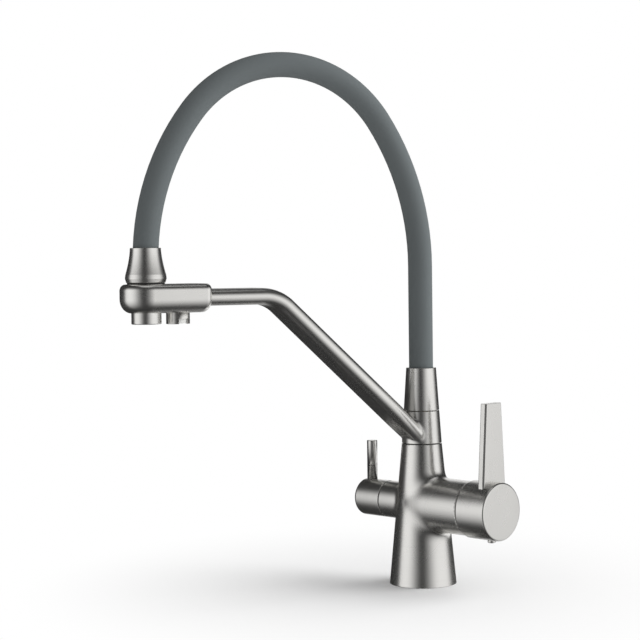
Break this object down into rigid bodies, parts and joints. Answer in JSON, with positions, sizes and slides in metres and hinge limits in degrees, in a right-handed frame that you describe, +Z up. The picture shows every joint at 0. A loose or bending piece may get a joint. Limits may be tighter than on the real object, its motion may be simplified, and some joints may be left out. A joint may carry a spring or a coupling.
{
  "type": "kitchen filter tap",
  "caption": "Three-way kitchen tap: a conical body with a side mixer lever and a filter knob, a swivelling flat arm with a double outlet head and a soft grey hose arching over it.",
  "frame": {"origin": "centre of the body's foot on the deck", "axes": "+Z up along the body axis, +X towards the mixer lever, -X towards the filter knob, -Y to the front"},
  "size_m": [0.1809, 0.2691, 0.4265],
  "materials": {
    "brushed_nickel": "fine brushed nickel, satin",
    "stainless_steel": "plain turned stainless steel",
    "brass": "machined brass",
    "grey_silicone": "matt smooth silicone",
    "black_rubber": "matt rubber",
    "white_ceramic": "lapped alumina ceramic",
    "white_plastic": "moulded acetal and polyethylene"
  },
  "bodies": {
    "body": {"body_casting": "brushed_nickel", "hose_manifold": "brass", "manifold_gasket": "black_rubber", "deck_seal": "black_rubber", "swivel_stem": "brass", "stem_gasket": "black_rubber", "swivel_o_rings": "black_rubber", "thrust_washer": "black_rubber", "swivel_washer": "white_plastic", "stem_circlip": "stainless_steel", "cartridge_housing": "white_plastic", "cartridge_seals": "black_rubber", "fixed_ceramic_disc": "white_ceramic", "cartridge_nut": "brass", "trim_collar": "brushed_nickel", "filter_valve_body": "brass", "filter_valve_seal": "black_rubber", "filter_fixed_disc": "white_ceramic"},
    "spout": {"swivel_ring": "brushed_nickel", "flat_arm": "brushed_nickel", "filter_tube": "white_plastic", "hose_ferrule": "brushed_nickel", "hose_spigot": "brass", "spigot_o_ring": "black_rubber", "silicone_hose": "grey_silicone", "inner_hose": "black_rubber", "head_block": "brushed_nickel", "head_nipple": "brass", "head_washer": "black_rubber", "bell_nut": "brushed_nickel", "aerator_housing": "brushed_nickel", "aerator_insert": "white_plastic", "aerator_seal": "black_rubber", "filter_nozzle": "brushed_nickel", "nozzle_insert": "white_plastic"},
    "mixer_rotor": {"cartridge_carrier": "white_plastic", "pivot_pin": "stainless_steel"},
    "lever": {"lever_stem": "stainless_steel", "lever_hub": "brushed_nickel", "lever_blade": "brushed_nickel", "lever_cap": "brushed_nickel", "lever_set_screw": "stainless_steel", "set_screw_plug": "black_rubber"},
    "disc_slide": {"moving_ceramic_disc": "white_ceramic", "disc_driver": "white_plastic"},
    "filter_handle": {"filter_moving_disc": "white_ceramic", "filter_spindle": "brass", "filter_knob": "brushed_nickel", "filter_pin": "brushed_nickel"}
  },
  "joints": [
    {"name": "spout_swivel", "type": "hinge", "parent": "body", "child": "spout", "pos_m": [0, 0, 0.128], "axis": [0, 0, 1], "continuous": true},
    {"name": "mixer_turn", "type": "hinge", "parent": "body", "child": "mixer_rotor", "pos_m": [0.041, 0, 0.0655], "axis": [1, 0, 0], "range_deg": [-45, 45]},
    {"name": "lever_tilt", "type": "hinge", "parent": "mixer_rotor", "child": "lever", "pos_m": [0.041, 0, 0.0655], "axis": [0, 1, 0], "range_deg": [0, 20]},
    {"name": "disc_travel", "type": "slide", "parent": "mixer_rotor", "child": "disc_slide", "axis": [0, 0, 1], "range_m": [0, 0.0027]},
    {"name": "filter_turn", "type": "hinge", "parent": "body", "child": "filter_handle", "pos_m": [-0.055, 0, 0.0655], "axis": [1, 0, 0], "range_deg": [0, 90]}
  ],
  "couplings": [
    {"joint": "disc_travel", "follows": "lever_tilt", "m_per_rad": 0.0075}
  ]
}
